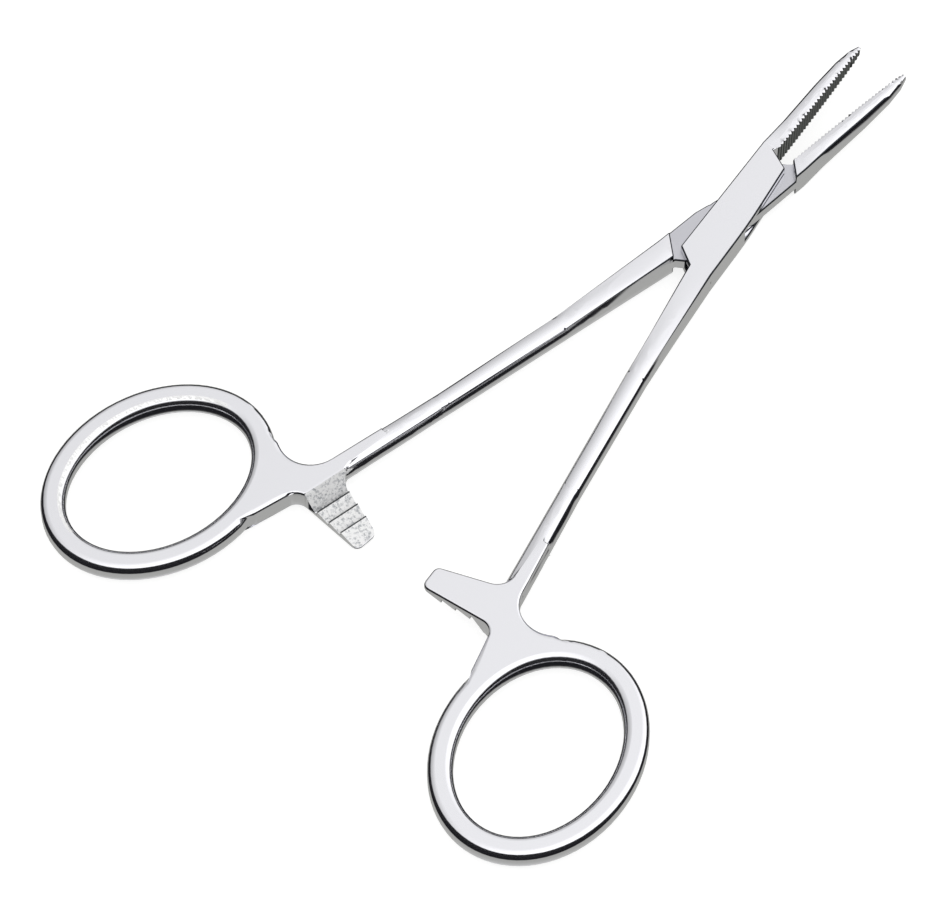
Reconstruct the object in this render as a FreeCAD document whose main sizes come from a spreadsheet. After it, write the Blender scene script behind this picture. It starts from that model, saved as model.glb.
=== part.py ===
import FreeCAD, Part
import math
import os
import Sketcher

# Mosquito hemostatic forceps: two forged halves crossing in a box joint, and the joint pin.
# Each half is drawn closed, with its finger ring at +X, its jaw tip at +Y and its mid-plane at Z = 0.
# The second half is the mirror image, with its own joint, rack and serration phase.
# The finished halves are then turned about the pin to stand a little open, box underside at Z = 0.

SIZES = [
    # alias, millimetres or degrees, what it is
    ("open_half", 5.8, "angle of each half from closed"),
    ("full_open", 42.0, "angle between the halves from closed to fully open"),
    ("box_thick", 3.7, "thickness of the box joint"),
    ("ring_thick", 2.96, "thickness of the finger rings"),
    ("web_thick", 3.0, "thickness of the webs and rack arms, a trace proud of the rings"),
    ("ring_side", 22.07, "ring centre from the closing line"),
    ("ring_front", 63.6, "front of the ring's centre line behind the pin"),
    ("ring_half_width", 10.8, "ring centre line, short semi-axis"),
    ("ring_half_length", 13.95, "ring centre line, long semi-axis"),
    ("ring_lean", 5.2, "lean of the ring towards the closing line"),
    ("ring_bar", 3.05, "width of the ring's bar"),
    ("ring_round", 0.95, "corner radius of the ring's bar"),
    ("web_bevel", 0.2, "edge bevel of the web between ring and shank"),
    ("flank_back", 9.4, "where the web leaves the ring's inner flank, behind the ring's front"),
    ("flank_round", 4.0, "radius of that flank"),
    ("notch_in", 13.52, "notch between ring and rack arm, inward of the ring centre"),
    ("notch_round", 1.8, "radius of the notch"),
    ("arm_reach", 1.7, "rack arm past the closing line"),
    ("arm_low_back", 66.95, "rear edge of the rack arm behind the pin"),
    ("arm_high_back", 63.7, "front edge of the rack arm's end behind the pin"),
    ("arm_round", 0.9, "corner radius of the rack arm's end"),
    ("crotch_in", 15.17, "crotch of rack arm and shank, inward of the ring centre"),
    ("crotch_back", 61.5, "crotch of rack arm and shank, behind the pin"),
    ("crotch_round", 2.4, "radius of that crotch"),
    ("tongue_back", 53.5, "end of the web's tongue on the shank, behind the pin"),
    ("tongue_out", 0.45, "middle of the tongue's end outward of the shank's middle"),
    ("tongue_wide", 1.4, "width of the tongue's end"),
    ("neck_in", 12.35, "corner of the neck's outer curve, inward of the ring centre"),
    ("neck_back", 66.3, "corner of the neck's outer curve, behind the pin"),
    ("neck_round", 4.2, "radius of the neck's outer curve"),
    ("shoulder_side", 6.67, "where the web meets the ring's front, short of the ring centre"),
    ("shoulder_drop", 0.4, "that point behind the front of the ring's centre line"),
    ("shoulder_land", 2.57, "end of the web's edge on the ring's land, short of the ring centre"),
    ("shoulder_round", 1.5, "radius where the web meets the ring's front"),
    ("foot_in", 14.07, "middle of the shank's foot, inward of the ring centre"),
    ("shank_top_side", 1.71, "middle of the shank at the box, from the closing line"),
    ("joint_crotch_side", 0.15, "inner edge of the shank where it meets the box"),
    ("joint_crotch_back", 9.4, "the same point behind the pin"),
    ("box_corner_side", 2.3, "free corner of the box plate at the shank end"),
    ("box_corner_back", 7.5, "the same corner behind the pin"),
    ("box_root_side", 3.28, "outer edge of the box at the shank"),
    ("box_belly_side", 3.12, "outer edge of the box beside the pin"),
    ("box_belly_round", 90.0, "radius of the box's long outer edge"),
    ("box_tip_side", 2.3, "free corner of the box plate at the jaw end"),
    ("box_tip_up", 10.1, "the same corner ahead of the pin"),
    ("jaw_base_up", 12.0, "inner base of the jaw ahead of the pin"),
    ("jaw_root_side", 2.24, "outer edge of the box at the jaw"),
    ("heel_in", 0.45, "corner between plate and outer jaw, short of the closing line"),
    ("heel_up", 11.8, "the same corner ahead of the pin"),
    ("heel_end", 13.0, "where the facet from that corner meets the jaw's face"),
    ("neck_thick", 1.7, "thickness of the inner half's neck in the box"),
    ("neck_gap", 0.06, "gap above and below that neck"),
    ("neck_step", 0.4, "setback of the inner half's shank behind the plate's end"),
    ("cheek_wide", 0.38, "swell of the neck's outer side beyond the box's edge"),
    ("cheek_back", 18.0, "where that swell dies away on the shank, behind the pin"),
    ("neck_lean", 10.0, "lean of the neck's axis at closed"),
    ("neck_wide_out", 3.1, "neck edge on the jaw's own side of the pin"),
    ("neck_wide_in", 2.4, "neck edge on the other side of the pin"),
    ("wall_gap", 0.08, "gap beside the neck and at the step walls when closed"),
    ("pin_radius", 1.0, "radius of the joint pin"),
    ("pin_play", 0.04, "running clearance of the pin in the neck"),
    ("rack_tooth_side", 4.98, "crest of the rack tooth nearest the neck"),
    ("rack_pitch", 2.05, "pitch of the rack teeth"),
    ("rack_depth", 0.65, "depth of the rack teeth"),
    ("rack_lead", 0.95, "rise of the lead-in ramp at the arm's end"),
    ("rack_root_flat", 0.35, "flat behind the last rack tooth"),
    ("rack_ramp", 51.0, "slope of the ground ramp behind the rack"),
    ("rack_lean", 7.0, "lean of the rack teeth, towards the pin"),
    ("rack_back", 64.6, "middle of the rack's cut behind the pin"),
    ("rack_wide", 7.4, "width of the rack's cut"),
    ("rack_clear", 0.05, "each rack's crests from the mid-plane"),
    ("tooth_pitch", 0.64, "pitch of the jaw serrations"),
    ("tooth_half", 0.1, "serration crests past the closing line"),
    ("tooth_crest", 0.02, "where the grooves' flanks would meet, past the crests"),
    ("tooth_root", 0.2, "serration roots short of the closing line"),
    ("tooth_start", 12.45, "first serration ahead of the pin"),
]
RACK_TOOTH_COUNT = 3
RING_FLAT_COUNT = 3  # flats that round each corner of the ring's bar

# Shank sections from web to box: distance behind the pin, share of the way out from top to foot,
# width between the top creases, thickness, crown of top and bottom, bulge of the sides.
SHANK = [
    ("foot", 63.0, 1.0, 2.20, 2.88, 0.22, 0.42),
    ("low", 45.0, 0.615, 1.90, 2.96, 0.24, 0.42),
    ("high", 27.0, 0.268, 2.15, 3.10, 0.22, 0.40),
    ("top", 9.1, 0.0, 3.06, 3.66, 0.04, 0.04),
]
# Jaw sections from box to tip: distance ahead of the pin, inner face past the closing line,
# width, thickness, crown of top and bottom, bulge of the outer side.
JAW = [
    ("root", 11.7, -0.03, 2.20, 3.66, 0.04, 0.04),
    ("heel", 17.5, 0.10, 2.30, 3.40, 0.16, 0.34),
    ("mid", 24.0, 0.10, 2.08, 2.95, 0.16, 0.34),
    ("fore", 29.0, 0.10, 1.72, 2.35, 0.15, 0.28),
    ("nose", 31.5, 0.08, 1.26, 1.85, 0.12, 0.22),
    ("tip", 33.0, -0.04, 0.58, 1.15, 0.08, 0.12),
]
SHANK_FIELDS = ("back", "out", "crease", "thick", "crown", "bulge")
JAW_FIELDS = ("up", "face", "wide", "thick", "crown", "bulge")
RING_BACK = "(size.ring_front + size.ring_half_length)"

doc = FreeCAD.newDocument("forceps")


def fill_sheet():
    """Write every driving size to the sheet, one row each."""
    sheet = doc.addObject("Spreadsheet::Sheet", "size")
    rows = list(SIZES)
    for part, stations, fields in (("shank", SHANK, SHANK_FIELDS), ("jaw", JAW, JAW_FIELDS)):
        for name, *values in stations:
            for field, value in zip(fields, values):
                rows.append((f"{part}_{name}_{field}", value, f"{part} section at its {name}: {field}"))
    for row, (alias, value, note) in enumerate(rows, 1):
        sheet.set(f"A{row}", note)
        sheet.set(f"B{row}", str(value))
        sheet.setAlias(f"B{row}", alias)
    doc.recompute()
    return sheet


size = fill_sheet()


def number(expression):
    """The present value of an expression on the sheet."""
    return float(size.evalExpression(expression))


def new_body(label):
    body = doc.addObject("PartDesign::Body", label)
    body.Label = label
    return body


def new_sketch(body, name, role, offset="0"):
    """A sketch on one of the body's own origin planes, moved along its normal."""
    sketch = body.newObject("Sketcher::SketchObject", name)
    plane = next(item for item in body.Origin.OriginFeatures if item.Role == role)
    sketch.AttachmentSupport = [(plane, "")]
    sketch.MapMode = "FlatFace"
    sketch.setExpression("AttachmentOffset.Base.z", offset)
    return sketch


def hold_point(sketch, geometry, point, place):
    """Tie a sketch point to two expressions."""
    for kind, expression in zip(("DistanceX", "DistanceY"), place):
        constraint = Sketcher.Constraint(kind, -1, 1, geometry, point, number(expression))
        index = sketch.addConstraint(constraint)
        sketch.setExpression(f"Constraints[{index}]", expression)


def draw_outline(sketch, corners):
    """A closed outline from corners (x, y, radius); radius None leaves the corner sharp."""
    count = len(corners)
    at = [FreeCAD.Vector(number(x), number(y), 0) for x, y, _ in corners]
    enter, leave, arcs = list(at), list(at), {}
    for i, (_, _, radius) in enumerate(corners):
        if radius is None:
            continue
        back = (at[i - 1] - at[i]).normalize()
        ahead = (at[(i + 1) % count] - at[i]).normalize()
        opening = back.getAngle(ahead)
        reach = number(radius) / math.tan(opening / 2)
        enter[i] = at[i] + back * reach
        leave[i] = at[i] + ahead * reach
        middle = (back + ahead).normalize()
        apart = (number(radius) ** 2 + reach ** 2) ** 0.5
        centre = at[i] + middle * apart
        arcs[i] = (centre, centre - middle * number(radius))
    for i in range(count):
        sketch.addGeometry(Part.LineSegment(leave[i], enter[(i + 1) % count]), False)
    for i, (x, y, radius) in enumerate(corners):
        before, after = (i - 1) % count, i
        if radius is None:
            sketch.addConstraint(Sketcher.Constraint("Coincident", before, 2, after, 1))
            hold_point(sketch, after, 1, (x, y))
            continue
        turn = (at[i] - at[i - 1]).cross(at[(i + 1) % count] - at[i]).z
        ends = (enter[i], leave[i]) if turn > 0 else (leave[i], enter[i])
        arc = sketch.addGeometry(Part.Arc(ends[0], arcs[i][1], ends[1]), False)
        first, last = (1, 2) if turn > 0 else (2, 1)
        corner = sketch.addGeometry(Part.Point(at[i]), True)
        hold_point(sketch, corner, 1, (x, y))
        sketch.addConstraint(Sketcher.Constraint("PointOnObject", corner, 1, before))
        sketch.addConstraint(Sketcher.Constraint("PointOnObject", corner, 1, after))
        sketch.addConstraint(Sketcher.Constraint("Tangent", before, 2, arc, first))
        sketch.addConstraint(Sketcher.Constraint("Tangent", arc, last, after, 1))
        index = sketch.addConstraint(Sketcher.Constraint("Radius", arc, number(radius)))
        sketch.setExpression(f"Constraints[{index}]", radius)


def draw_section(sketch, left, right, half_high, crown, left_bulge, right_bulge):
    """A bar's section: crowned top and bottom, bulged sides, four creases."""
    corners = [(left, f"-({half_high})"), (right, f"-({half_high})"), (right, half_high), (left, half_high)]
    bulges = [crown, right_bulge, crown, left_bulge]
    outward = [(0, -1), (1, 0), (0, 1), (-1, 0)]
    at = [FreeCAD.Vector(number(x), number(y), 0) for x, y in corners]
    for i in range(4):
        start, end = at[i], at[(i + 1) % 4]
        if bulges[i] is None:
            sketch.addGeometry(Part.LineSegment(start, end), False)
            continue
        middle = (start + end) / 2 + FreeCAD.Vector(*outward[i], 0) * number(bulges[i])
        sketch.addGeometry(Part.Arc(start, middle, end), False)
    for i, place in enumerate(corners):
        sketch.addConstraint(Sketcher.Constraint("Coincident", (i - 1) % 4, 2, i, 1))
        hold_point(sketch, i, 1, place)
    chords = [f"(({right}) - ({left}))", f"(2 * ({half_high}))"]
    for i, bulge in enumerate(bulges):
        if bulge is None:
            continue
        radius = f"({chords[i % 2]}^2 / 4 + ({bulge})^2) / (2 * ({bulge}))"
        index = sketch.addConstraint(Sketcher.Constraint("Radius", i, number(radius)))
        sketch.setExpression(f"Constraints[{index}]", radius)


def add_pad(body, sketch, name, length):
    pad = body.newObject("PartDesign::Pad", name)
    pad.Profile = sketch
    pad.SideType = "Symmetric"
    pad.setExpression("Length", length)
    return pad


def add_pocket(body, sketch, name, length):
    """A pocket cut as far above its sketch as below it."""
    pocket = body.newObject("PartDesign::Pocket", name)
    pocket.Profile = sketch
    pocket.SideType = "Symmetric"
    pocket.setExpression("Length", length)
    return pocket


def add_loft(body, sketches, name):
    loft = body.newObject("PartDesign::AdditiveLoft", name)
    loft.Profile = sketches[0]
    loft.Sections = sketches[1:]
    loft.Ruled = True


def round_in_flats(near, far, half, radius, flats):
    """Corners of a bar's section, each of its four edges rounded by a few flats."""
    centres = [(f"{far} - {radius}", f"{half} - {radius}"), (f"{near} + {radius}", f"{half} - {radius}"),
               (f"{near} + {radius}", f"{radius} - {half}"), (f"{far} - {radius}", f"{radius} - {half}")]
    corners = []
    for quarter, (x, y) in enumerate(centres):
        for step in range(flats + 1):
            turn = 90 * (quarter + step / flats)
            corners.append((f"{x} + {radius} * cos({turn})", f"{y} + {radius} * sin({turn})", None))
    return corners


def make_ring():
    """The finger ring: a rounded bar swept round a leaning ellipse."""
    spine = doc.addObject("Part::Ellipse", "ring_line")
    spine.setExpression("MajorRadius", "size.ring_half_length")
    spine.setExpression("MinorRadius", "size.ring_half_width")
    spine.setExpression("Placement.Base.x", "size.ring_side")
    spine.setExpression("Placement.Base.y", f"-{RING_BACK}")
    spine.setExpression("Placement.Rotation.Angle", "90 + size.ring_lean")
    bar = doc.addObject("Sketcher::SketchObject", "ring_bar_section")
    upright = FreeCAD.Rotation(FreeCAD.Vector(1, 0, 0), 90)
    lean = FreeCAD.Rotation(FreeCAD.Vector(0, 0, 1), 90 + number("size.ring_lean"))
    centre = FreeCAD.Vector(number("size.ring_side"), -number(RING_BACK), 0)
    bar.Placement = FreeCAD.Placement(centre, lean.multiply(upright))
    near = "(size.ring_half_length - size.ring_bar / 2)"
    far = "(size.ring_half_length + size.ring_bar / 2)"
    half = "(size.ring_thick / 2)"
    draw_outline(bar, round_in_flats(near, far, half, "size.ring_round", RING_FLAT_COUNT))
    doc.recompute()
    ring = doc.addObject("Part::Sweep", "ring")
    ring.Sections = [bar]
    ring.Spine = (spine, ["Edge1"])
    ring.Solid = True
    ring.Frenet = False
    return ring


def shank_side(station):
    """Middle of one shank section from the closing line: the shanks splay with the rings."""
    splay = "(size.ring_side - size.foot_in - size.shank_top_side)"
    return f"(size.shank_top_side + size.shank_{station}_out * {splay})"


def make_web():
    """The flat web that joins ring, rack arm and shank, cut back to the ring's land."""
    body = new_body("web_blank")
    sketch = new_sketch(body, "web_outline", "XY_Plane")
    # The tongue's end lies on the shank's middle line, between its two lowest sections.
    along = "(size.shank_foot_back - size.tongue_back) / (size.shank_foot_back - size.shank_low_back)"
    tongue = f"{shank_side('foot')} + ({shank_side('low')} - {shank_side('foot')}) * {along} + size.tongue_out"
    draw_outline(sketch, [
        ("size.ring_side", f"-{RING_BACK}", None),
        ("size.ring_side - size.shoulder_land", "-size.ring_front - size.shoulder_drop / 2", None),
        ("size.ring_side - size.shoulder_side", "-size.ring_front - size.shoulder_drop", "size.shoulder_round"),
        ("size.ring_side - size.neck_in", "-size.neck_back", "size.neck_round"),
        (f"{tongue} + size.tongue_wide / 2", "-size.tongue_back", None),
        (f"{tongue} - size.tongue_wide / 2", "-size.tongue_back", None),
        ("size.ring_side - size.crotch_in", "-size.crotch_back", "size.crotch_round"),
        ("-size.arm_reach", "-size.arm_high_back", "size.arm_round"),
        ("-size.arm_reach", "-size.arm_low_back", "size.arm_round"),
        ("size.ring_side - size.notch_in", "-size.arm_low_back", "size.notch_round"),
        ("size.ring_side - size.ring_half_width - size.ring_bar / 2", "-size.ring_front - size.flank_back",
         "size.flank_round"),
        ("size.ring_side - size.ring_half_width", f"-{RING_BACK}", None),
    ])
    pad = add_pad(body, sketch, "web_pad", "size.web_thick")
    doc.recompute()
    flat = number("size.web_thick") / 2
    rims = [f"Edge{i}" for i, edge in enumerate(pad.Shape.Edges, 1)
            if all(abs(abs(vertex.Z) - flat) < 0.001 for vertex in edge.Vertexes)
            and edge.Vertexes[0].Z * edge.Vertexes[-1].Z > 0]
    rim = body.newObject("PartDesign::Chamfer", "web_rim")
    rim.Base = (pad, rims)
    rim.setExpression("Size", "size.web_bevel")
    hole = doc.addObject("Part::Ellipse", "ring_hole_line")
    for name in ("MajorRadius", "MinorRadius", "Placement.Base.x", "Placement.Base.y"):
        hole.setExpression(name, f"ring_line.{name}")
    hole.setExpression("Placement.Rotation.Angle", "90 + size.ring_lean")
    plug = doc.addObject("Part::Extrusion", "ring_hole_plug")
    plug.Base = hole
    plug.DirMode = "Custom"
    plug.Dir = FreeCAD.Vector(0, 0, 1)
    plug.Symmetric = True
    plug.Solid = True
    plug.setExpression("LengthFwd", "2 * size.web_thick")
    web = doc.addObject("Part::Cut", "web")
    web.Base = body
    web.Tool = plug
    return web


def make_shank():
    """The shank: four crowned sections, leaning towards the closing line."""
    body = new_body("shank")
    sections = []
    for name, *_ in SHANK:
        cell = f"size.shank_{name}"
        sketch = new_sketch(body, f"shank_{name}", "XZ_Plane", f"{cell}_back")
        side, half = shank_side(name), f"{cell}_crease / 2"
        draw_section(sketch, f"{side} - {half}", f"{side} + {half}",
                     f"{cell}_thick / 2 - {cell}_crown", f"{cell}_crown", f"{cell}_bulge", f"{cell}_bulge")
        sections.append(sketch)
    add_loft(body, sections, "shank_loft")
    return body


def make_box_bar():
    """The flat bar from which the box joint is cut."""
    body = new_body("box_bar")
    sketch = new_sketch(body, "box_outline", "XY_Plane")
    draw_outline(sketch, [
        ("size.joint_crotch_side", "-size.joint_crotch_back", None),
        ("size.box_root_side", "-size.joint_crotch_back", None),
        ("size.box_belly_side", "0", "size.box_belly_round"),
        ("size.box_tip_side", "size.box_tip_up", None),
        ("0", "size.jaw_base_up", None),
        ("-size.jaw_root_side", "size.jaw_base_up", None),
        ("-size.box_corner_side", "-size.box_corner_back", None),
    ])
    add_pad(body, sketch, "box_pad", "size.box_thick")
    return body


def make_jaw():
    """The jaw: flat inner face, crowned top and bottom, rounded outer side, fine tip."""
    body = new_body("jaw")
    sections = []
    for name, *_ in JAW:
        cell = f"size.jaw_{name}"
        sketch = new_sketch(body, f"jaw_{name}", "XZ_Plane", f"-{cell}_up")
        draw_section(sketch, f"{cell}_face - {cell}_wide + {cell}_bulge", f"{cell}_face",
                     f"{cell}_thick / 2 - {cell}_crown", f"{cell}_crown", f"{cell}_bulge", None)
        sections.append(sketch)
    add_loft(body, sections, "jaw_loft")
    return body


def meet(point, along, other, across):
    """Where the line through point along one direction meets the line through other."""
    (px, py), (dx, dy), (qx, qy), (ex, ey) = point, along, other, across
    step = f"((({qx}) - ({px})) * ({ey}) - (({qy}) - ({py})) * ({ex})) / (({dx}) * ({ey}) - ({dy}) * ({ex}))"
    return f"({px}) + ({step}) * ({dx})", f"({py}) + ({step}) * ({dy})"


def shift(point, along, distance):
    return tuple(f"({p}) + ({distance}) * ({d})" for p, d in zip(point, along))


CLOSED = ("sin(size.neck_lean)", "cos(size.neck_lean)")
OPENED = ("sin(size.neck_lean + size.full_open)", "cos(size.neck_lean + size.full_open)")
HALFWAY = "(size.neck_lean + size.full_open / 2)"
FAR = "9"

# The closing line's own side of the two step walls: the shank's wall and the jaw's wall.
SHANK_WALL = (("-size.joint_crotch_side", "-size.joint_crotch_back"),
              ("size.box_corner_side + size.joint_crotch_side", "size.joint_crotch_back - size.box_corner_back"))
JAW_WALL = (("0", "size.jaw_base_up"), ("size.box_tip_side", "size.jaw_base_up - size.box_tip_up"))


def cut_slot(body):
    """The slot through the box: the neck's own space, swept from closed to fully open."""
    in_reach = "(size.neck_wide_in + size.wall_gap) / cos(size.full_open / 2)"
    out_reach = "(size.neck_wide_out + size.wall_gap) / cos(size.full_open / 2)"
    in_apex = (f"{in_reach} * cos({HALFWAY})", f"-{in_reach} * sin({HALFWAY})")
    out_apex = (f"-{out_reach} * cos({HALFWAY})", f"{out_reach} * sin({HALFWAY})")
    shank_end = (SHANK_WALL[0][0], f"{SHANK_WALL[0][1]} - size.wall_gap")
    jaw_end = (JAW_WALL[0][0], f"{JAW_WALL[0][1]} + size.wall_gap")
    sketch = new_sketch(body, "slot_outline", "XY_Plane")
    draw_outline(sketch, [(x, y, None) for x, y in (
        in_apex,
        shift(in_apex, OPENED, FAR),
        shift(jaw_end, JAW_WALL[1], "0.5"),
        meet(out_apex, CLOSED, jaw_end, JAW_WALL[1]),
        out_apex,
        shift(out_apex, OPENED, f"-{FAR}"),
        shift(shank_end, SHANK_WALL[1], "-0.5"),
        meet(in_apex, CLOSED, shank_end, SHANK_WALL[1]),
    )])
    return add_pocket(body, sketch, "slot", "size.neck_thick + 2 * size.neck_gap")


def cut_neck(body):
    """The inner half's neck: both faces cut back between the step walls, both sides trimmed."""
    # This half's walls lie along the outer half's plate ends, a gap further out.
    shank_end = ("size.joint_crotch_side", "-size.joint_crotch_back - size.wall_gap - size.neck_step")
    shank_run = (f"-({SHANK_WALL[1][0]})", SHANK_WALL[1][1])
    jaw_end = ("0", "size.jaw_base_up + size.wall_gap")
    jaw_run = (JAW_WALL[1][0], f"-({JAW_WALL[1][1]})")
    window = (shift(shank_end, shank_run, "-1"), shift(jaw_end, jaw_run, "2"),
              shift(jaw_end, jaw_run, "-2"), shift(shank_end, shank_run, "2"))
    cuts = []
    for name, side, turned in (("neck_face_top", "size.neck_thick / 2", True),
                               ("neck_face_base", "-size.neck_thick / 2", False)):
        sketch = new_sketch(body, f"{name}_outline", "XY_Plane", side)
        draw_outline(sketch, [(x, y, None) for x, y in window])
        pocket = body.newObject("PartDesign::Pocket", name)
        pocket.Profile = sketch
        pocket.setExpression("Length", "size.box_thick")
        pocket.Reversed = turned
        cuts.append(pocket)
    inner = ("size.neck_wide_in * cos(size.neck_lean)", "-size.neck_wide_in * sin(size.neck_lean)")
    outer = ("-size.neck_wide_out * cos(size.neck_lean)", "size.neck_wide_out * sin(size.neck_lean)")
    for name, edge, ends, out in (("neck_side_in", inner, (f"-{FAR}", "5"), "4"),
                                  ("neck_side_out", outer, ("12", "-5"), "-4")):
        start, end = (shift(edge, CLOSED, step) for step in ends)
        sketch = new_sketch(body, f"{name}_outline", "XY_Plane")
        beside = ((f"{end[0]} + {out}", end[1]), (f"{start[0]} + {out}", start[1]))
        draw_outline(sketch, [(x, y, None) for x, y in (start, beside[1], beside[0], end)])
        cuts.append(add_pocket(body, sketch, name, "2 * size.box_thick"))
    return cuts


def add_cheek(body):
    """The swell of the neck's outer side, dying away along the shank."""
    sketch = new_sketch(body, "neck_cheek_outline", "XY_Plane")
    bed = "size.wall_gap"
    draw_outline(sketch, [(x, y, None) for x, y in (
        (f"{bed} - size.box_belly_side", "0"),
        ("-size.box_belly_side - size.cheek_wide", "0"),
        ("-size.box_root_side - size.cheek_wide", "-size.joint_crotch_back - size.neck_step"),
        (f"-({shank_side('top')} + size.shank_top_crease / 2)", "-size.cheek_back"),
        (f"{bed} - size.box_root_side", "-size.joint_crotch_back"),
    )])
    return add_pad(body, sketch, "neck_cheek", "size.neck_thick")


def cut_heel(body):
    """The outer jaw's heel: a facet between the plate's end and the first serration."""
    sketch = new_sketch(body, "heel_outline", "XY_Plane")
    past = "size.box_tip_side + size.wall_gap"
    draw_outline(sketch, [(x, y, None) for x, y in (
        ("-size.heel_in", "size.heel_up"),
        ("size.box_tip_side", "size.box_tip_up"),
        (past, "size.box_tip_up"),
        (past, "size.heel_end"),
        ("size.tooth_half", "size.heel_end"),
    )])
    return add_pocket(body, sketch, "heel", "2 * size.box_thick")


def cut_pin_hole(body, radius):
    sketch = new_sketch(body, "pin_hole_circle", "XY_Plane")
    draw_circle(sketch, radius)
    return add_pocket(body, sketch, "pin_hole", "2 * size.box_thick")


def draw_circle(sketch, radius):
    circle = Part.Circle(FreeCAD.Vector(0, 0, 0), FreeCAD.Vector(0, 0, 1), number(radius))
    sketch.addGeometry(circle, False)
    sketch.addConstraint(Sketcher.Constraint("Coincident", 0, 3, -1, 1))
    index = sketch.addConstraint(Sketcher.Constraint("Radius", 0, number(radius)))
    sketch.setExpression(f"Constraints[{index}]", radius)


def cut_rack(body, side):
    """The rack on the arm: teeth under the outer half's arm, on top of the inner half's."""
    crest = "size.rack_clear"
    root = "size.rack_clear + size.rack_depth"
    below = "size.web_thick"
    end = "(size.arm_reach + 0.6)"
    flat_end = "size.rack_tooth_side + size.rack_root_flat"
    foot = f"{flat_end} + ({below} + {root}) / tan(size.rack_ramp)"
    profile = [(f"-{end}", f"-{below}"), (foot, f"-{below}"), (flat_end, root)]
    for tooth in range(RACK_TOOTH_COUNT):
        at = f"size.rack_tooth_side - {tooth} * size.rack_pitch"
        profile += [(at, root), (at, crest)]
    profile.append((f"-{end}", f"{crest} + size.rack_lead"))
    if side < 0:
        profile = [(f"-({x})", f"-({z})") for x, z in profile]
    sketch = new_sketch(body, "rack_outline", "XZ_Plane", "size.rack_back")
    upright = FreeCAD.Vector(0, 1, 0)
    sketch.AttachmentOffset.Rotation = FreeCAD.Rotation(upright, side * number("size.rack_lean"))
    sketch.setExpression("AttachmentOffset.Rotation.Angle", f"{side} * size.rack_lean")
    draw_outline(sketch, [(x, z, None) for x, z in profile])
    return add_pocket(body, sketch, "rack", "size.rack_wide")


def cut_serrations(body, side, start):
    """Transverse grooves along the jaw's inner face, one cut and its row of copies."""
    crest = f"{side} * (size.tooth_half + size.tooth_crest)"
    root = f"{-side} * size.tooth_root"
    half = "size.tooth_pitch / 2"
    sketch = new_sketch(body, "serration_outline", "XY_Plane")
    tip = [(root, start, None), (crest, f"{start} - {half}", None), (crest, f"{start} + {half}", None)]
    draw_outline(sketch, tip)
    first = add_pocket(body, sketch, "serration", "size.box_thick")
    row = body.newObject("PartDesign::LinearPattern", "serrations")
    row.Originals = [first]
    row.Direction = (sketch, ["V_Axis"])
    row.Mode = "Spacing"
    row.setExpression("Offset", "size.tooth_pitch")
    row.setExpression("Occurrences", "floor((size.jaw_tip_up - size.tooth_start) / size.tooth_pitch) + 1")
    body.Tip = row
    return row


def finish_half(label, blank, side):
    """Cut one half's own joint, rack and serrations into its blank, and stand it open."""
    body = new_body(label)
    body.BaseFeature = blank
    if side > 0:
        cuts = [cut_slot(body), cut_heel(body), cut_pin_hole(body, "size.pin_radius")]
        start = "size.tooth_start"
    else:
        add_cheek(body)
        cuts = cut_neck(body) + [cut_pin_hole(body, "size.pin_radius + size.pin_play")]
        start = "(size.tooth_start + size.tooth_pitch / 2)"
    cuts += [cut_rack(body, side), cut_serrations(body, side, start)]
    body.setExpression("Placement.Base.z", "size.box_thick / 2")
    body.setExpression("Placement.Rotation.Angle", f"{side} * size.open_half")
    return body, cuts


def make_pin():
    """The joint pin, pressed into both plates and polished flush with them."""
    body = new_body("joint_pin")
    sketch = new_sketch(body, "pin_circle", "XY_Plane")
    draw_circle(sketch, "size.pin_radius")
    add_pad(body, sketch, "pin", "size.box_thick")
    body.setExpression("Placement.Base.z", "size.box_thick / 2")
    return body


def make_blank():
    blank = doc.addObject("Part::MultiFuse", "half_blank")
    blank.Shapes = [make_ring(), make_web(), make_shank(), make_box_bar(), make_jaw()]
    mirrored = doc.addObject("Part::Mirroring", "mirrored_blank")
    mirrored.Source = blank
    mirrored.Normal = FreeCAD.Vector(1, 0, 0)
    doc.recompute()
    return blank, mirrored


def check_cuts(cuts):
    """Every cut must take metal away from the shape before it."""
    for cut in cuts:
        before = cut.BaseFeature.Shape.Volume
        if not cut.Shape.Volume < before - 1e-4:
            raise RuntimeError(f"{cut.Label} cuts nothing")


blank, mirrored = make_blank()
outer_half, outer_cuts = finish_half("outer_half", blank, 1)
inner_half, inner_cuts = finish_half("inner_half", mirrored, -1)
joint_pin = make_pin()
doc.recompute()

for item in doc.Objects:
    if "Invalid" in item.State or "Error" in item.State:
        raise RuntimeError(f"{item.Label} failed: {item.State}")
check_cuts(outer_cuts + inner_cuts)

os.makedirs("parts", exist_ok=True)
for piece in (outer_half, inner_half, joint_pin):
    if piece.Shape.isNull() or not piece.Shape.isValid() or len(piece.Shape.Solids) != 1:
        raise RuntimeError(f"{piece.Label} is not one valid solid")
    piece.Shape.exportStep(f"parts/{piece.Label}.step")
    print(piece.Label, round(piece.Shape.Volume, 2), "mm3", piece.Shape.BoundBox)
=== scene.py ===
import bpy
import math
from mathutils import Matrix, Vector


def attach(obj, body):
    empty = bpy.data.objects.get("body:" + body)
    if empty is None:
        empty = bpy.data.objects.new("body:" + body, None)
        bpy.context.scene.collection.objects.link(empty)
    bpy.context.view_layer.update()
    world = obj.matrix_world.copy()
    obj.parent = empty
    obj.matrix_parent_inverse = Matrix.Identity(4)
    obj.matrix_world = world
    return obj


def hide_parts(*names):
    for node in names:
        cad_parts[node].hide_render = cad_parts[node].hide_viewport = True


# Mosquito hemostatic forceps in polished stainless steel, laid flat and a little open.
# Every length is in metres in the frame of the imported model: pin axis at the origin, jaws towards +Y.

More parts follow.
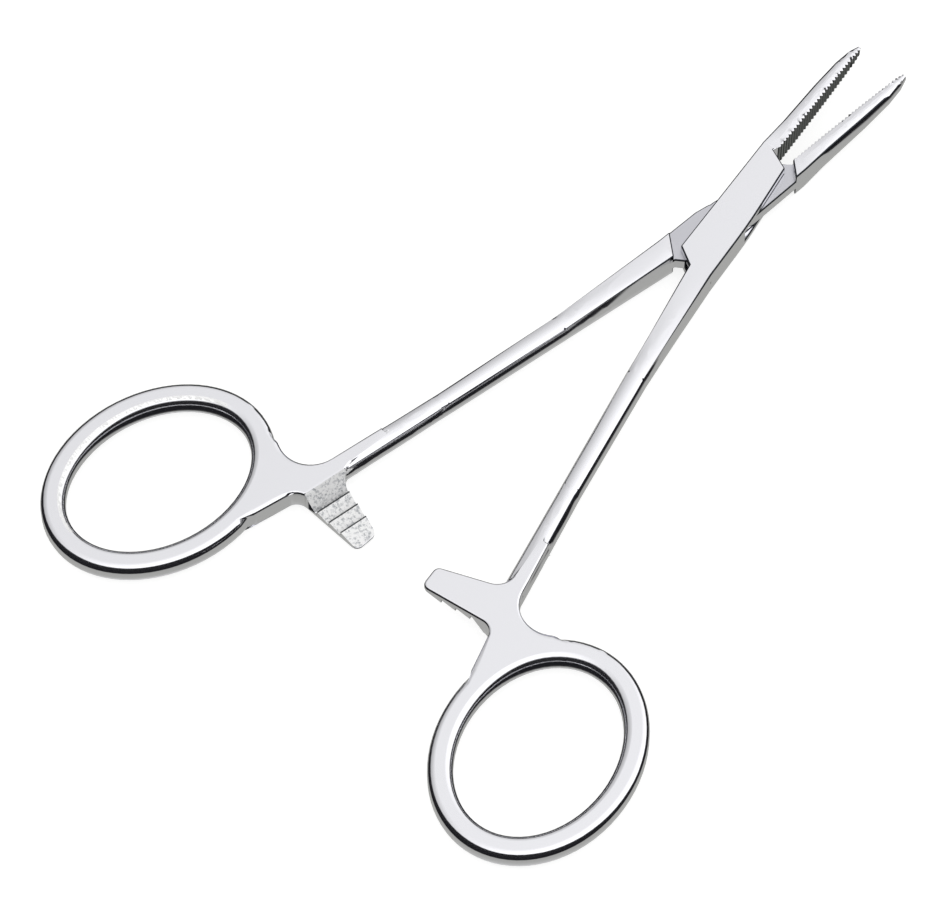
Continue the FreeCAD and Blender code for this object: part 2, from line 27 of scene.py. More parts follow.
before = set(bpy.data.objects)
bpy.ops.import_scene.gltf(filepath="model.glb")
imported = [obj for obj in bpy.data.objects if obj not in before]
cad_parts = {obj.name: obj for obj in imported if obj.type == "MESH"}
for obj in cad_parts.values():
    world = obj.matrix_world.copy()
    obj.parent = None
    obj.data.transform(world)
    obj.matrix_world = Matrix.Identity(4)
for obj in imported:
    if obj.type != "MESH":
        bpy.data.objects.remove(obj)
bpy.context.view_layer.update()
mm = 0.001
openAngle = math.radians(5.8)  # each half, from closed
scene = bpy.context.scene
print("frame loaded:", ", ".join(sorted(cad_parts)))


def toLinear(hexText):
    channels = []
    for start in (0, 2, 4):
        value = int(hexText[start:start + 2], 16) / 255
        channels.append(value / 12.92 if value <= 0.04045 else ((value + 0.055) / 1.055) ** 2.4)
    return (*channels, 1.0)


def addNode(tree, kind, settings=None, links=None):
    node = tree.nodes.new(kind)
    for name, value in (settings or {}).items():
        if isinstance(name, int) or name in node.inputs:
            node.inputs[name].default_value = value
        else:
            setattr(node, name, value)
    for name, source in (links or {}).items():
        tree.links.new(source, node.inputs[name])
    return node


# Camera, taken from the photograph: it looks down at 56.85 degrees from 39.4 degrees to the right of +Y.
camera = {
    "target": (-2.16 * mm, -47.68 * mm, 3.35 * mm),
    "azimuth": 39.36,
    "elevation": 56.85,
    "distance": 558.2 * mm,
    "lens": 172.85,
    "sensor": 36.0,
}


def placeCamera(c):
    turn, rise = math.radians(c["azimuth"]), math.radians(c["elevation"])
    back = Vector((math.sin(turn) * math.cos(rise), -math.cos(turn) * math.cos(rise), math.sin(rise)))
    data = bpy.data.cameras.new("photoCamera")
    data.sensor_fit = "HORIZONTAL"
    data.sensor_width = c["sensor"]
    data.lens = c["lens"]
    data.clip_start, data.clip_end = 0.01, 10
    thing = bpy.data.objects.new("photoCamera", data)
    scene.collection.objects.link(thing)
    thing.location = Vector(c["target"]) + back * c["distance"]
    thing.rotation_mode = "QUATERNION"
    thing.rotation_quaternion = (-back).to_track_quat("-Z", "Y")
    scene.camera = thing


placeCamera(camera)
print("camera placed")

# Polished stainless steel, buffed by hand: pale, cool, nearly a mirror, with a very slight waviness
# and a faint drag of the buffing mop.
polish = {
    "colour": "f1f1f5",
    "roughness": 0.13,
    "mopGrain": 0.4,      # mm between buffing marks, coarser than real so that they show
    "mopDepth": 0.0008,   # mm
    "waveLength": 9.0,    # mm across one slow swell of the buffed surface
    "waveDepth": 0.012,   # mm
}
# Cut serrations: the cutter leaves them dull; the grey of their crests is partly painted dark reflection, and the
# near-black in their grooves is painted shade.
serration = {
    "crest": "8d908f",
    # near-black painted shade in the grooves
    "root": "0b0c0c",
    "roughness": 0.38,
    "pitch": 0.64,        # mm, as cut
    "start": 12.45,       # mm ahead of the pin, first groove of the outer half
    "rootShare": 0.34,    # share of the pitch painted as shade
    "fade": (-0.06, 0.14),  # the painted shade's soft border, in pitches from its edge
}
# Ground rack: off the grinding wheel, matt and mottled; the dark line at each tooth is painted shade.
rack = {
    "light": "fbfbfb",
    "dark": "aeb1b5",
    # painted shade: the dark line at each tooth
    "line": "3c3e40",
    "metal": 0.2,
    "roughness": 0.5,
    "mottle": 0.45,       # mm
    "mottleRange": (0.36, 0.52),
    "scratch": 0.16,      # mm
    "depth": 0.012,       # mm
    "lean": (0.9925, 0.1219),  # cosine and sine of the teeth's lean
    "back": 64.6,         # mm behind the pin, middle of the rack
    "pitch": 2.035, "first": 0.873,  # mm along the rack
    "toothShaded": (0.3, 5.3),  # mm along the rack, where the painted tooth shade can be
    "toothShadeShare": 0.075,   # half the width of a painted shade line, in pitches
}
# Tooth walls: the grinding wheel's side leaves them dull, and their dark grey is painted shade between the teeth.
rackWall = {"colour": "5c6062", "roughness": 0.4}
# The box's inner lands: milled but not buffed, so rougher than the plates; their greyer colour is painted shade from
# the gap between the plates.
boxLandShade = {"colour": "d0d0d6", "roughness": 0.3}
# Creases: a thin dark line on the bevels, painted as a reflection of the dark room.
crease = {"colour": "34363b", "roughness": 0.3}
# File marks where the ring's finger side was opened by hand: bright torn flecks.
filed = {
    "colour": "f6f6f6",
    "shine": 0.14,        # roughness between the flecks
    "torn": 0.6,          # and on them
    "tornMetal": 0.35,
    "fleck": 0.7,         # mm
    "fleckRange": (0.47, 0.53),
    "stretch": 2.5,
}
dullGrain = 0.3           # mm, grain of all the dull steels
roughnessSpread = (0.8, 1.2)


def newMaterial(name):
    material = bpy.data.materials.new(name)
    material.use_nodes = True
    material.node_tree.nodes.clear()
    return material, material.node_tree


def finishMaterial(material, tree, steel):
    addNode(tree, "ShaderNodeOutputMaterial", None, {"Surface": steel.outputs[0]})
    return material


def addNoise(tree, place, size, detail, settings=None):
    return addNode(tree, "ShaderNodeTexNoise", {"Scale": 1 / (size * mm), "Detail": detail, **(settings or {})},
                   {"Vector": place})


def addMath(tree, operation, source, values=None):
    return addNode(tree, "ShaderNodeMath", {"operation": operation, **(values or {})}, {0: source})


def spreadRoughness(tree, roughness, grain):
    low, high = roughnessSpread
    return addNode(tree, "ShaderNodeMapRange", {"To Min": roughness * low, "To Max": roughness * high},
                   {"Value": grain.outputs[0]})


# How far a point is from the nearest of a row of stripes, in pitches.
def addStripes(tree, source, perLength, shift):
    count = addMath(tree, "MULTIPLY_ADD", source, {1: perLength, 2: shift})
    part = addMath(tree, "FRACT", count.outputs[0])
    off = addMath(tree, "SUBTRACT", part.outputs[0], {1: 0.5})
    return addMath(tree, "ABSOLUTE", off.outputs[0])


def makePolishedSteel(p):
    material, tree = newMaterial("polishedStainlessSteel")
    place = addNode(tree, "ShaderNodeTexCoord").outputs["Object"]
    grain = addNoise(tree, place, p["mopGrain"], 3.0, {"Roughness": 0.6})
    swell = addNoise(tree, place, p["waveLength"], 1.0)
    spread = spreadRoughness(tree, p["roughness"], grain)
    wavy = addNode(tree, "ShaderNodeBump", {"Strength": 1.0, "Distance": p["waveDepth"] * mm},
                   {"Height": swell.outputs[0]})
    bump = addNode(tree, "ShaderNodeBump", {"Strength": 1.0, "Distance": p["mopDepth"] * mm},
                   {"Height": grain.outputs[0], "Normal": wavy.outputs[0]})
    steel = addNode(tree, "ShaderNodeBsdfPrincipled", {"Base Color": toLinear(p["colour"]), "Metallic": 1.0},
                    {"Roughness": spread.outputs[0], "Normal": bump.outputs[0]})
    return finishMaterial(material, tree, steel)


# turn is the half's angle from closed, so that the painted groove shade follows its grooves.
def makeSerratedSteel(name, s, turn, start):
    material, tree = newMaterial(name)
    place = addNode(tree, "ShaderNodeTexCoord")
    square = addNode(tree, "ShaderNodeMapping", {"Rotation": (0, 0, -turn)}, {"Vector": place.outputs["Object"]})
    along = addNode(tree, "ShaderNodeSeparateXYZ", None, {0: square.outputs[0]})
    away = addStripes(tree, along.outputs["Y"], 1 / (s["pitch"] * mm), 0.5 - start / s["pitch"])
    low, high = (s["rootShare"] / 2 + fade for fade in s["fade"])
    lift = addNode(tree, "ShaderNodeMapRange", {"From Min": low, "From Max": high, "interpolation_type": "SMOOTHSTEP"},
                   {"Value": away.outputs[0]})
    colour = addNode(tree, "ShaderNodeMix",
                     {"data_type": "RGBA", 6: toLinear(s["root"]), 7: toLinear(s["crest"])},
                     {0: lift.outputs[0]})
    steel = addNode(tree, "ShaderNodeBsdfPrincipled", {"Metallic": 1.0, "Roughness": s["roughness"]},
                    {"Base Color": colour.outputs[2]})
    return finishMaterial(material, tree, steel)


# Only the inner half's rack faces up, so the painted tooth shade is laid for that half.
def makeGroundSteel(r, side):
    material, tree = newMaterial("groundStainlessSteelToothShade")
    place = addNode(tree, "ShaderNodeTexCoord").outputs["Object"]
    mottle = addNoise(tree, place, r["mottle"], 4.0, {"Roughness": 0.7})
    scratch = addNoise(tree, place, r["scratch"], 2.0)
    low, high = r["mottleRange"]
    tone = addNode(tree, "ShaderNodeMapRange", {"From Min": low, "From Max": high}, {"Value": mottle.outputs[0]})
    colour = addNode(tree, "ShaderNodeMix",
                     {"data_type": "RGBA", 6: toLinear(r["dark"]), 7: toLinear(r["light"])},
                     {0: tone.outputs[0]})
    rough = addNode(tree, "ShaderNodeBump", {"Strength": 1.0, "Distance": r["depth"] * mm},
                    {"Height": scratch.outputs[0]})
    across, along = r["lean"]
    turnX, turnY = math.cos(openAngle), math.sin(openAngle)
    way = (across * side * turnX + along * turnY, -across * side * turnY + along * turnX, 0)
    reach = addNode(tree, "ShaderNodeVectorMath", {"operation": "DOT_PRODUCT", 1: way}, {0: place})
    inMm = addMath(tree, "MULTIPLY_ADD", reach.outputs["Value"], {1: 1 / mm, 2: along * r["back"]})
    away = addStripes(tree, inMm.outputs[0], 1 / r["pitch"], 0.5 - r["first"] / r["pitch"])
    near = addMath(tree, "LESS_THAN", away.outputs[0], {1: r["toothShadeShare"]})
    start, end = r["toothShaded"]
    before = addMath(tree, "LESS_THAN", inMm.outputs[0], {1: end})
    after = addMath(tree, "GREATER_THAN", inMm.outputs[0], {1: start})
    within = addNode(tree, "ShaderNodeMath", {"operation": "MULTIPLY"}, {0: before.outputs[0], 1: after.outputs[0]})
    toothShadeMask = addNode(tree, "ShaderNodeMath", {"operation": "MULTIPLY"}, {0: near.outputs[0], 1: within.outputs[0]})
    toothShaded = addNode(tree, "ShaderNodeMix", {"data_type": "RGBA", 7: toLinear(r["line"])},
                    {0: toothShadeMask.outputs[0], 6: colour.outputs[2]})
    steel = addNode(tree, "ShaderNodeBsdfPrincipled", {"Metallic": r["metal"], "Roughness": r["roughness"]},
                    {"Base Color": toothShaded.outputs[2], "Normal": rough.outputs[0]})
    return finishMaterial(material, tree, steel)


def makeFiledSteel(f):
    material, tree = newMaterial("filedStainlessSteel")
    place = addNode(tree, "ShaderNodeTexCoord")
    drag = addNode(tree, "ShaderNodeMapping", {"Scale": (1, f["stretch"], 1)}, {"Vector": place.outputs["Object"]})
    fleck = addNoise(tree, drag.outputs[0], f["fleck"], 3.0, {"Roughness": 0.7})
    low, high = f["fleckRange"]
    torn = addNode(tree, "ShaderNodeMapRange", {"From Min": low, "From Max": high}, {"Value": fleck.outputs[0]})
    rough = addNode(tree, "ShaderNodeMapRange", {"To Min": f["shine"], "To Max": f["torn"]},
                    {"Value": torn.outputs[0]})
    matt = addNode(tree, "ShaderNodeMapRange", {"To Min": 1.0, "To Max": f["tornMetal"]},
                   {"Value": torn.outputs[0]})
    steel = addNode(tree, "ShaderNodeBsdfPrincipled", {"Base Color": toLinear(f["colour"])},
                    {"Roughness": rough.outputs[0], "Metallic": matt.outputs[0]})
    return finishMaterial(material, tree, steel)


def makeDullSteel(name, w):
    material, tree = newMaterial(name)
    place = addNode(tree, "ShaderNodeTexCoord").outputs["Object"]
    grain = addNoise(tree, place, dullGrain, 2.0)
    spread = spreadRoughness(tree, w["roughness"], grain)
    steel = addNode(tree, "ShaderNodeBsdfPrincipled", {"Base Color": toLinear(w["colour"]), "Metallic": 1.0},
                    {"Roughness": spread.outputs[0]})
    return finishMaterial(material, tree, steel)


# The two halves: smooth-edged copies of the frame's solids, because a polished edge is never quite sharp.
# side is +1 for the half whose ring lies at +X, and firstGroove is how far its grooves stand on, in mm.
halves = {
    "outerHalf": {"node": "outer_half", "body": "outer_half", "side": 1, "firstGroove": 0.0},
    "innerHalf": {"node": "inner_half", "body": "inner_half", "side": -1, "firstGroove": 0.32},
}
# A half's material slots, in order.
polished, serratedFace, groundFace, toothWall, landFace, creaseFace, filedFace = range(7)
cutFaces = (serratedFace, groundFace, toothWall)
middle = 1.85 * mm  # height of the forceps' mid-plane
# All the zones below are in a half's closed frame, with its ring towards +X.
edge = {
    "width": 0.6 * mm,     # bevel at full weight
    "share": 0.2, "creaseShare": 0.3, "flankShare": 0.7,  # weights: ring and web, the rest, web beside the ring
    "segments": 3,
    "crease": 33.0, "smooth": 44.0, "level": 0.2,         # degrees
    "weld": 0.002 * mm, "clean": 0.03 * mm, "sliver": 0.005 * mm,
    "cleanUpTo": 12.1 * mm,  # the jaws' fine grooves aren't cleaned
}
zones = {
    "web": -52.6 * mm,     # web and ring lie behind this
    "pin": 1.2 * mm,
    "flank": 7.0 * mm,     # how far the web's wide rim runs out of the ring
    "flankSide": 9 * mm,
    "rim": 1.45 * mm,      # from the mid-plane
    "teeth": 12.3 * mm, "teethSide": 1.3 * mm,      # no bevels among the serrations
    "notches": 12.2 * mm, "notchSide": 0.9 * mm,    # the notches' small faces aren't smoothed
    "plainJaw": 11.9 * mm,
}
ring = {
    "middle": (22.07 * mm, -77.55 * mm), "long": 13.95 * mm, "short": 10.8 * mm, "lean": math.radians(5.2),
    "halfBar": 1.525 * mm,
    "front": -58 * mm, "inside": -0.6 * mm,
    "heights": (-1.48, -1.35, -1.01, -0.53, 0.53, 1.01, 1.35, 1.48),  # mm from the mid-plane
    "tilts": (-82, -60, -38, 3, 20, 38, 55, 82),                      # degrees at those heights
    "filed": (-1.05 * mm, -0.6 * mm), "filedFront": -60 * mm, "filedSide": 1.5 * mm, "filedUp": 1.3 * mm,
}
tongue = {"end": -53.5 * mm, "reach": 0.3 * mm, "height": 1.44 * mm}
seams = {
    "ringLand": 1.48 * mm, "webLand": 1.5 * mm, "land": 1.478 * mm,  # heights from the mid-plane
    "shankBack": -9.4 * mm, "shankSides": (0.15 * mm, 3.28 * mm),
    "jawUp": 12.0 * mm, "jawSides": (-2.24 * mm, 0.0),
    "reach": 0.02 * mm, "topReach": 0.2 * mm, "sideReach": 0.1 * mm,
}
serratedZone = {"from": 12.35 * mm, "side": 0.3 * mm, "facing": 0.25, "level": 0.5}
rackZone = {
    "sides": (-2.5 * mm, 7.4 * mm), "backs": (-67.8 * mm, -60.0 * mm), "top": 1.05 * mm,
    "slopes": (0.3, 0.995),
    "wallLevel": 0.05, "wallFacing": 0.97, "wallTop": 0.1 * mm, "wallSide": 0.5 * mm,
}
landZone = {"height": 0.85 * mm, "reach": 0.02 * mm, "level": 0.95, "length": 13 * mm}


# A point as it would lie in the half's closed frame, and back.
def closedPlace(point, half):
    turn = -half["side"] * openAngle
    x = point.x * math.cos(turn) - point.y * math.sin(turn)
    y = point.x * math.sin(turn) + point.y * math.cos(turn)
    return Vector((x * half["side"], y, point.z))


def openPlace(point, half):
    turn = half["side"] * openAngle
    x, y = point.x * half["side"], point.y
    return Vector((x * math.cos(turn) - y * math.sin(turn), x * math.sin(turn) + y * math.cos(turn), point.z))


# Draws together the hairline steps where ring meets web, and where shank and jaw meet the box.
def closeSeams(mesh, half):
    full = 2 * middle
    for vertex in mesh.vertices:
        up = vertex.co.z - middle
        if abs(abs(up) - seams["ringLand"]) < edge["weld"]:
            vertex.co.z = middle + math.copysign(seams["webLand"], up)
        own = closedPlace(vertex.co, half)
        for seam, sides in (("shankBack", "shankSides"), ("jawUp", "jawSides")):
            if abs(own.y - seams[seam]) > seams["reach"]:
                continue
            low, high = seams[sides]
            if own.z > full - seams["topReach"]:
                own.z = full
            elif own.z < seams["topReach"]:
                own.z = 0
            if abs(own.x - low) < seams["sideReach"]:
                own.x = low
            elif abs(own.x - high) < seams["sideReach"] and sides == "shankSides":
                own.x = high
            vertex.co = openPlace(own, half)


# How far a point lies outside the middle line of the ring's bar, less than 0 towards the hole, and the
# direction straight out from it.
def besideRing(own):
    across, along = own.x - ring["middle"][0], own.y - ring["middle"][1]
    leanX, leanY = math.cos(ring["lean"]), math.sin(ring["lean"])
    u = across * -leanY + along * leanX
    v = across * leanX + along * leanY
    t = math.atan2(v / ring["short"], u / ring["long"])
    for _ in range(6):
        nearU, nearV = ring["long"] * math.cos(t), ring["short"] * math.sin(t)
        stepU, stepV = -ring["long"] * math.sin(t), ring["short"] * math.cos(t)
        gap = (nearU - u) * stepU + (nearV - v) * stepV
        bend = stepU * stepU + stepV * stepV - (nearU - u) * nearU - (nearV - v) * nearV
        t -= gap / bend
    awayU, awayV = u - ring["long"] * math.cos(t), v - ring["short"] * math.sin(t)
    size = math.hypot(awayU, awayV)
    if size < 1e-7:
        return 0.0, Vector((0, 0, 0))
    sign = 1 if (u / ring["long"]) ** 2 + (v / ring["short"]) ** 2 > 1 else -1
    out = Vector((-leanY * awayU + leanX * awayV, leanX * awayU + leanY * awayV, 0)) / size * sign
    return sign * size, out


def surfaceKind(face, half):
    own = closedPlace(face.center, half)
    normal = closedPlace(face.normal, half)
    s, r, box = serratedZone, rackZone, landZone
    if own.y > s["from"] and abs(own.x) < s["side"] and normal.x > s["facing"] and abs(normal.z) < s["level"]:
        return serratedFace
    inside = r["sides"][0] < own.x < r["sides"][1] and r["backs"][0] < own.y < r["backs"][1]
    rackSide = (own.z - middle) * -half["side"]
    rackUp = normal.z * -half["side"]
    if inside and rackSide < r["top"]:
        if r["slopes"][0] < rackUp < r["slopes"][1]:
            return groundFace
        upright = abs(rackUp) < r["wallLevel"] and abs(normal.x) > r["wallFacing"]
        if upright and rackSide < r["wallTop"] and own.x > r["wallSide"]:
            return toothWall
    atLand = abs(abs(own.z - middle) - box["height"]) < box["reach"]
    if atLand and abs(normal.z) > box["level"] and abs(own.y) < box["length"]:
        return landFace
    return polished


def clearSelection(*groups):
    for items in groups:
        items.foreach_set("select", [False] * len(items))


# Takes off the flat top and bottom of ring and web and fills each again as one face, then lowers the
# tongue's end so that it doesn't stand out of the web.
def relayLands(piece, half):
    mesh = piece.data
    for up in (1, -1):
        clearSelection(mesh.vertices, mesh.edges)
        for face in mesh.polygons:
            places = [closedPlace(mesh.vertices[i].co, half) for i in face.vertices]
            face.select = all((p.z - middle) * up > seams["land"] and p.y < zones["web"] for p in places)
        bpy.ops.object.mode_set(mode="EDIT")
        bpy.ops.mesh.select_mode(type="FACE")
        bpy.ops.mesh.delete(type="FACE")
        bpy.ops.mesh.select_mode(type="EDGE")
        bpy.ops.mesh.select_all(action="DESELECT")
        bpy.ops.mesh.select_non_manifold(extend=False, use_wire=False, use_boundary=True,
                                         use_multi_face=False, use_non_contiguous=False, use_verts=False)
        bpy.ops.mesh.fill(use_beauty=True)
        bpy.ops.mesh.select_mode(type="VERT")
        bpy.ops.object.mode_set(mode="OBJECT")
    for vertex in mesh.vertices:
        own = closedPlace(vertex.co, half)
        if abs(own.y - tongue["end"]) < tongue["reach"] and abs(own.z - middle) > tongue["height"]:
            own.z = middle + math.copysign(tongue["height"], own.z - middle)
            vertex.co = openPlace(own, half)


def facePairs(mesh):
    owners = {}
    for face in mesh.polygons:
        for key in face.edge_keys:
            owners.setdefault(key, []).append(face)
    return owners


def edgeWeight(ends):
    if ends[0].y >= zones["web"]:
        weight = edge["creaseShare"]
    else:
        weight = edge["share"]
    rim = all(abs(p.z - middle) > zones["rim"] and p.y < zones["web"] for p in ends)
    if rim and ends[0].x > zones["flankSide"]:
        beside = min(besideRing(p)[0] for p in ends) - ring["halfBar"]
        weight = max(weight, edge["flankShare"] * (1 - max(beside, 0) / zones["flank"]))
    return weight


# Sharp edges get a small bevel, and the web's rims a wide one that runs out of the ring's round bar.
# Inner corners stay sharp, so that nothing grows into the other half.
def markCreases(mesh, half):
    weights = mesh.attributes.new("bevel_weight_edge", "FLOAT", "EDGE")
    owners = facePairs(mesh)
    limit = math.cos(math.radians(edge["crease"]))
    for line in mesh.edges:
        pair = owners.get(tuple(sorted(line.vertices)), [])
        if len(pair) != 2 or pair[0].normal.dot(pair[1].normal) > limit:
            continue
        if max(face.material_index for face in pair) in cutFaces:
            continue
        ends = [closedPlace(mesh.vertices[i].co, half) for i in line.vertices]
        hollow = (pair[1].center - pair[0].center).dot(pair[0].normal) > 0
        if hollow and ends[0].y > zones["web"]:
            continue
        if any(math.hypot(p.x, p.y) < zones["pin"] for p in ends):
            continue
        if any(abs(p.x) < zones["teethSide"] and p.y > zones["teeth"] for p in ends):
            continue
        weights.data[line.index].value = edgeWeight(ends)


# Bevels keep the painted dark reflection only on shank, box and the jaws' outer side. The left ring gets its file
# marks.
def settleFaces(mesh, half):
    for face in mesh.polygons:
        own = closedPlace(face.center, half)
        if own.y > zones["notches"] and own.x > -zones["notchSide"]:
            face.use_smooth = False
        if face.material_index == creaseFace:
            if own.y < zones["web"] or (own.y > zones["plainJaw"] and own.x > -zones["teethSide"]):
                face.material_index = polished
        if face.material_index not in (polished, landFace) or half["side"] > 0:
            continue
        if own.x > ring["middle"][0] + ring["filedSide"] and own.z > middle + ring["filedUp"]:
            low, high = ring["filed"]
            if own.y < ring["filedFront"] and low < besideRing(own)[0] < high:
                face.material_index = filedFace


# The ring's finger side is rounder than its few facets: its normals follow a full oval.
def roundRingInside(mesh, half):
    heights, tilts = ring["heights"], ring["tilts"]
    normals = [Vector(corner.vector) for corner in mesh.corner_normals]
    for face in mesh.polygons:
        own = closedPlace(face.center, half)
        if own.y > ring["front"] or abs(closedPlace(face.normal, half).z) > 0.999:
            continue
        if besideRing(own)[0] > ring["inside"]:
            continue
        for index in face.loop_indices:
            place = closedPlace(mesh.vertices[mesh.loops[index].vertex_index].co, half)
            out = besideRing(place)[1]
            up = max(heights[0], min(heights[-1], (place.z - middle) / mm))
            for low, high, first, last in zip(heights, heights[1:], tilts, tilts[1:]):
                if low <= up <= high:
                    tilt = math.radians(first + (last - first) * (up - low) / (high - low))
            normal = -out * math.cos(tilt) + Vector((0, 0, math.sin(tilt)))
            normals[index] = openPlace(normal, half)
    mesh.normals_split_custom_set(normals)


def cleanMesh(piece, half):
    mesh = piece.data
    bpy.ops.object.mode_set(mode="EDIT")
    bpy.ops.mesh.select_all(action="SELECT")
    bpy.ops.mesh.remove_doubles(threshold=edge["weld"])
    bpy.ops.object.mode_set(mode="OBJECT")
    closeSeams(mesh, half)
    clearSelection(mesh.polygons, mesh.edges)
    for vertex in mesh.vertices:
        vertex.select = closedPlace(vertex.co, half).y < edge["cleanUpTo"]
    bpy.ops.object.mode_set(mode="EDIT")
    bpy.ops.mesh.remove_doubles(threshold=edge["clean"])
    bpy.ops.object.mode_set(mode="OBJECT")
    relayLands(piece, half)
    bpy.ops.object.mode_set(mode="EDIT")
    bpy.ops.mesh.select_all(action="SELECT")
    bpy.ops.mesh.dissolve_degenerate(threshold=edge["sliver"])
    bpy.ops.mesh.dissolve_limited(angle_limit=math.radians(edge["level"]))
    bpy.ops.object.mode_set(mode="OBJECT")


def bevelEdges(piece, half):
    markCreases(piece.data, half)
    rim = piece.modifiers.new("edges", "BEVEL")
    rim.width = edge["width"]
    rim.segments = edge["segments"]
    rim.limit_method = "WEIGHT"
    rim.use_clamp_overlap = False
    # the bevels' faces take the painted dark reflection of the creases
    rim.material = creaseFace
    bpy.ops.object.modifier_apply(modifier=rim.name)


def dressHalf(name, half):
    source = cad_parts[half["node"]]
    piece = bpy.data.objects.new(name, source.data.copy())
    scene.collection.objects.link(piece)
    bpy.ops.object.select_all(action="DESELECT")
    piece.select_set(True)
    bpy.context.view_layer.objects.active = piece
    cleanMesh(piece, half)
    piece.data.materials.clear()
    for material in half["materials"]:
        piece.data.materials.append(material)
    for face in piece.data.polygons:
        face.material_index = surfaceKind(face, half)
    bevelEdges(piece, half)
    bpy.ops.object.shade_smooth_by_angle(angle=math.radians(edge["smooth"]))
    settleFaces(piece.data, half)
    for vertex in piece.data.vertices:
        vertex.co.z = max(0.0, min(2 * middle, vertex.co.z))
    flow = piece.modifiers.new("flow", "WEIGHTED_NORMAL")
    flow.keep_sharp = True
    bpy.ops.object.modifier_apply(modifier=flow.name)
    roundRingInside(piece.data, half)
    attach(piece, half["body"])
    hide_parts(half["node"])
    kinds = [face.material_index for face in piece.data.polygons]
    print(name, "dressed:", len(kinds), "faces,", [kinds.count(kind) for kind in range(len(half["materials"]))])


polishedSteel = makePolishedSteel(polish)
groundSteel = makeGroundSteel(rack, halves["innerHalf"]["side"])
toothWallShadeSteel = makeDullSteel("rackToothWallShadedSteel", rackWall)
landShadeSteel = makeDullSteel("shadedBoxLandSteel", boxLandShade)
creaseSteel = makeDullSteel("shadowedCreaseSteel", crease)
filedSteel = makeFiledSteel(filed)
for name, half in halves.items():
    serrated = makeSerratedSteel(name + "SerrationsGrooveShade", serration, half["side"] * openAngle,
                                 serration["start"] + half["firstGroove"])
    half["materials"] = (polishedSteel, serrated, groundSteel, toothWallShadeSteel, landShadeSteel, creaseSteel, filedSteel)
print("materials made")
for name, half in halves.items():
    dressHalf(name, half)
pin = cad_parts["joint_pin"]
pin.data.materials.clear()
pin.data.materials.append(polishedSteel)


# White paper floor in a white tent. The metal sees the tent's wall ahead as pale, its right side as the
# brightest, and the dark room through the tent's low opening, widest near the camera.
studio = {
    "floorHalf": 3.0,
    "floorDrop": -0.02 * mm,      # just below the forceps, so that the two don't share a plane
    "floorColour": "a8a8a7",
    "floorGlow": 0.80,
    "light": 0.9,
    "tent": 0.90,                 # what a level polished face sees
    "levelView": (-0.3467, 0.4229, 0.8372),  # where a level face sends the camera's view
    "tentRight": 0.62,            # how fast the tent brightens towards +X
    "tentUp": 0.10,
    "tentLow": 0.45, "tentHigh": 1.35,
    "table": (0.42, 0.42, 0.40, 1.0),
    "tableBelow": (0.72, 0.72, 0.72, 1.0),
    "tableFade": (-84, -60),      # degrees, from straight below to the table
    "room": (0.012, 0.012, 0.014, 1.0),
    "farDark": (-28.0, 14.0),     # the dark opening ahead: its lower and upper edge, degrees
    "nearDark": (-47.0, 44.0),    # and behind the camera
    "darkTurn": 15.0,             # where it is widest, degrees from the camera towards -X
    "darkWidening": (-0.5, 0.8),  # cosines of the turn from there, between far and near
    "soft": 5.0,
}


def makeFloor(s):
    bpy.ops.object.select_all(action="DESELECT")
    bpy.ops.mesh.primitive_plane_add(size=2 * s["floorHalf"], location=(0, 0, s["floorDrop"]))
    floor = bpy.context.object
    floor.name = "floor"
    material, tree = newMaterial("whitePaper")
    paper = addNode(tree, "ShaderNodeBsdfDiffuse", {"Color": toLinear(s["floorColour"])})
    glow = addNode(tree, "ShaderNodeEmission", {"Strength": s["floorGlow"]})
    path = addNode(tree, "ShaderNodeLightPath")
    both = addNode(tree, "ShaderNodeAddShader", None, {0: paper.outputs[0], 1: glow.outputs[0]})
    pick = addNode(tree, "ShaderNodeMixShader", None,
                   {0: path.outputs["Is Camera Ray"], 1: paper.outputs[0], 2: both.outputs[0]})
    floor.data.materials.append(finishMaterial(material, tree, pick))
    floor.visible_glossy = False


# Two soft steps in height: table to dark room, and dark room to tent.
def addDarkBorders(tree, s, rise, near):
    soft = math.radians(s["soft"])
    steps = []
    for far, close in zip(s["farDark"], s["nearDark"]):
        border = addNode(tree, "ShaderNodeMapRange", {"To Min": math.radians(far), "To Max": math.radians(close)},
                         {"Value": near.outputs[0]})
        gap = addNode(tree, "ShaderNodeMath", {"operation": "SUBTRACT"}, {0: rise.outputs[0], 1: border.outputs[0]})
        steps.append(addNode(tree, "ShaderNodeMapRange",
                             {"From Min": -soft, "From Max": soft, "interpolation_type": "SMOOTHSTEP"},
                             {"Value": gap.outputs[0]}))
    return steps


def addTent(tree, s, way):
    slope = addNode(tree, "ShaderNodeVectorMath",
                    {"operation": "DOT_PRODUCT", 1: (s["tentRight"], 0, s["tentUp"])}, {0: way})
    level = s["levelView"]
    base = s["tent"] - s["tentRight"] * level[0] - s["tentUp"] * level[2]
    tone = addMath(tree, "ADD", slope.outputs["Value"], {1: base})
    cap = addNode(tree, "ShaderNodeClamp", {"Min": s["tentLow"], "Max": s["tentHigh"]}, {"Value": tone.outputs[0]})
    return addNode(tree, "ShaderNodeCombineColor", None, {0: cap.outputs[0], 1: cap.outputs[0], 2: cap.outputs[0]})


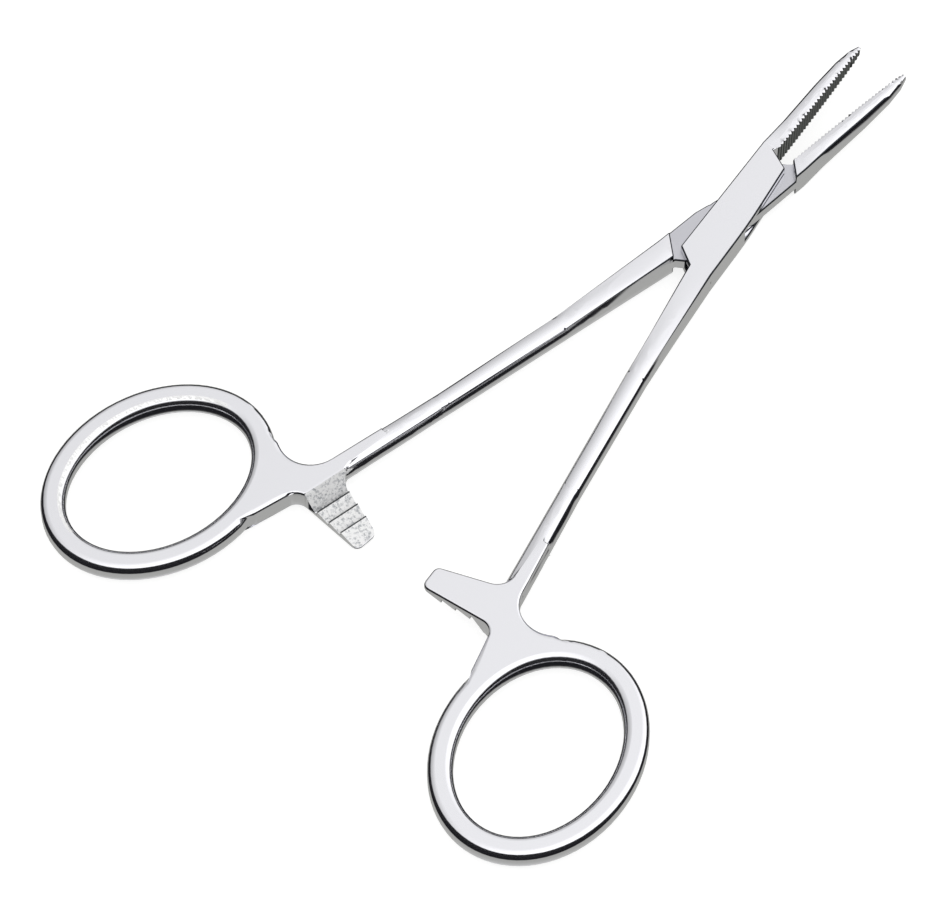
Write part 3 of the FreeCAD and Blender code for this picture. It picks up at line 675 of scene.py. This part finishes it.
def makeWorld(s, c):
    world = bpy.data.worlds.new("studio")
    scene.world = world
    world.use_nodes = True
    tree = world.node_tree
    tree.nodes.clear()
    way = addNode(tree, "ShaderNodeTexCoord").outputs["Generated"]
    parts = addNode(tree, "ShaderNodeSeparateXYZ", None, {0: way})
    rise = addMath(tree, "ARCSINE", parts.outputs["Z"])
    turn = math.radians(c["azimuth"] - s["darkTurn"])
    facing = addNode(tree, "ShaderNodeVectorMath",
                     {"operation": "DOT_PRODUCT", 1: (math.sin(turn), -math.cos(turn), 0)}, {0: way})
    level = addMath(tree, "COSINE", rise.outputs[0])
    behind = addNode(tree, "ShaderNodeMath", {"operation": "DIVIDE"},
                     {0: facing.outputs["Value"], 1: level.outputs[0]})
    low, high = s["darkWidening"]
    near = addNode(tree, "ShaderNodeMapRange", {"From Min": low, "From Max": high, "interpolation_type": "SMOOTHSTEP"},
                   {"Value": behind.outputs[0]})
    toRoom, toTent = addDarkBorders(tree, s, rise, near)
    below, above = (math.radians(angle) for angle in s["tableFade"])
    under = addNode(tree, "ShaderNodeMapRange", {"From Min": below, "From Max": above}, {"Value": rise.outputs[0]})
    ground = addNode(tree, "ShaderNodeMix", {"data_type": "RGBA", 6: s["tableBelow"], 7: s["table"]},
                     {0: under.outputs[0]})
    lower = addNode(tree, "ShaderNodeMix", {"data_type": "RGBA", 7: s["room"]},
                    {0: toRoom.outputs[0], 6: ground.outputs[2]})
    seen = addNode(tree, "ShaderNodeMix", {"data_type": "RGBA"},
                   {0: toTent.outputs[0], 6: lower.outputs[2], 7: addTent(tree, s, way).outputs[0]})
    path = addNode(tree, "ShaderNodeLightPath")
    metal = addNode(tree, "ShaderNodeBackground", None, {"Color": seen.outputs[2]})
    plain = addNode(tree, "ShaderNodeBackground", {"Strength": s["light"]})
    white = addNode(tree, "ShaderNodeBackground", {"Strength": 1.0})
    for shade in (plain, white):
        shade.inputs["Color"].default_value = (1, 1, 1, 1)
    lit = addNode(tree, "ShaderNodeMixShader", None,
                  {0: path.outputs["Is Glossy Ray"], 1: plain.outputs[0], 2: metal.outputs[0]})
    whole = addNode(tree, "ShaderNodeMixShader", None,
                    {0: path.outputs["Is Camera Ray"], 1: lit.outputs[0], 2: white.outputs[0]})
    addNode(tree, "ShaderNodeOutputWorld", None, {"Surface": whole.outputs[0]})


makeFloor(studio)
makeWorld(studio, camera)
scene.view_settings.view_transform = "Standard"
print("studio lit")
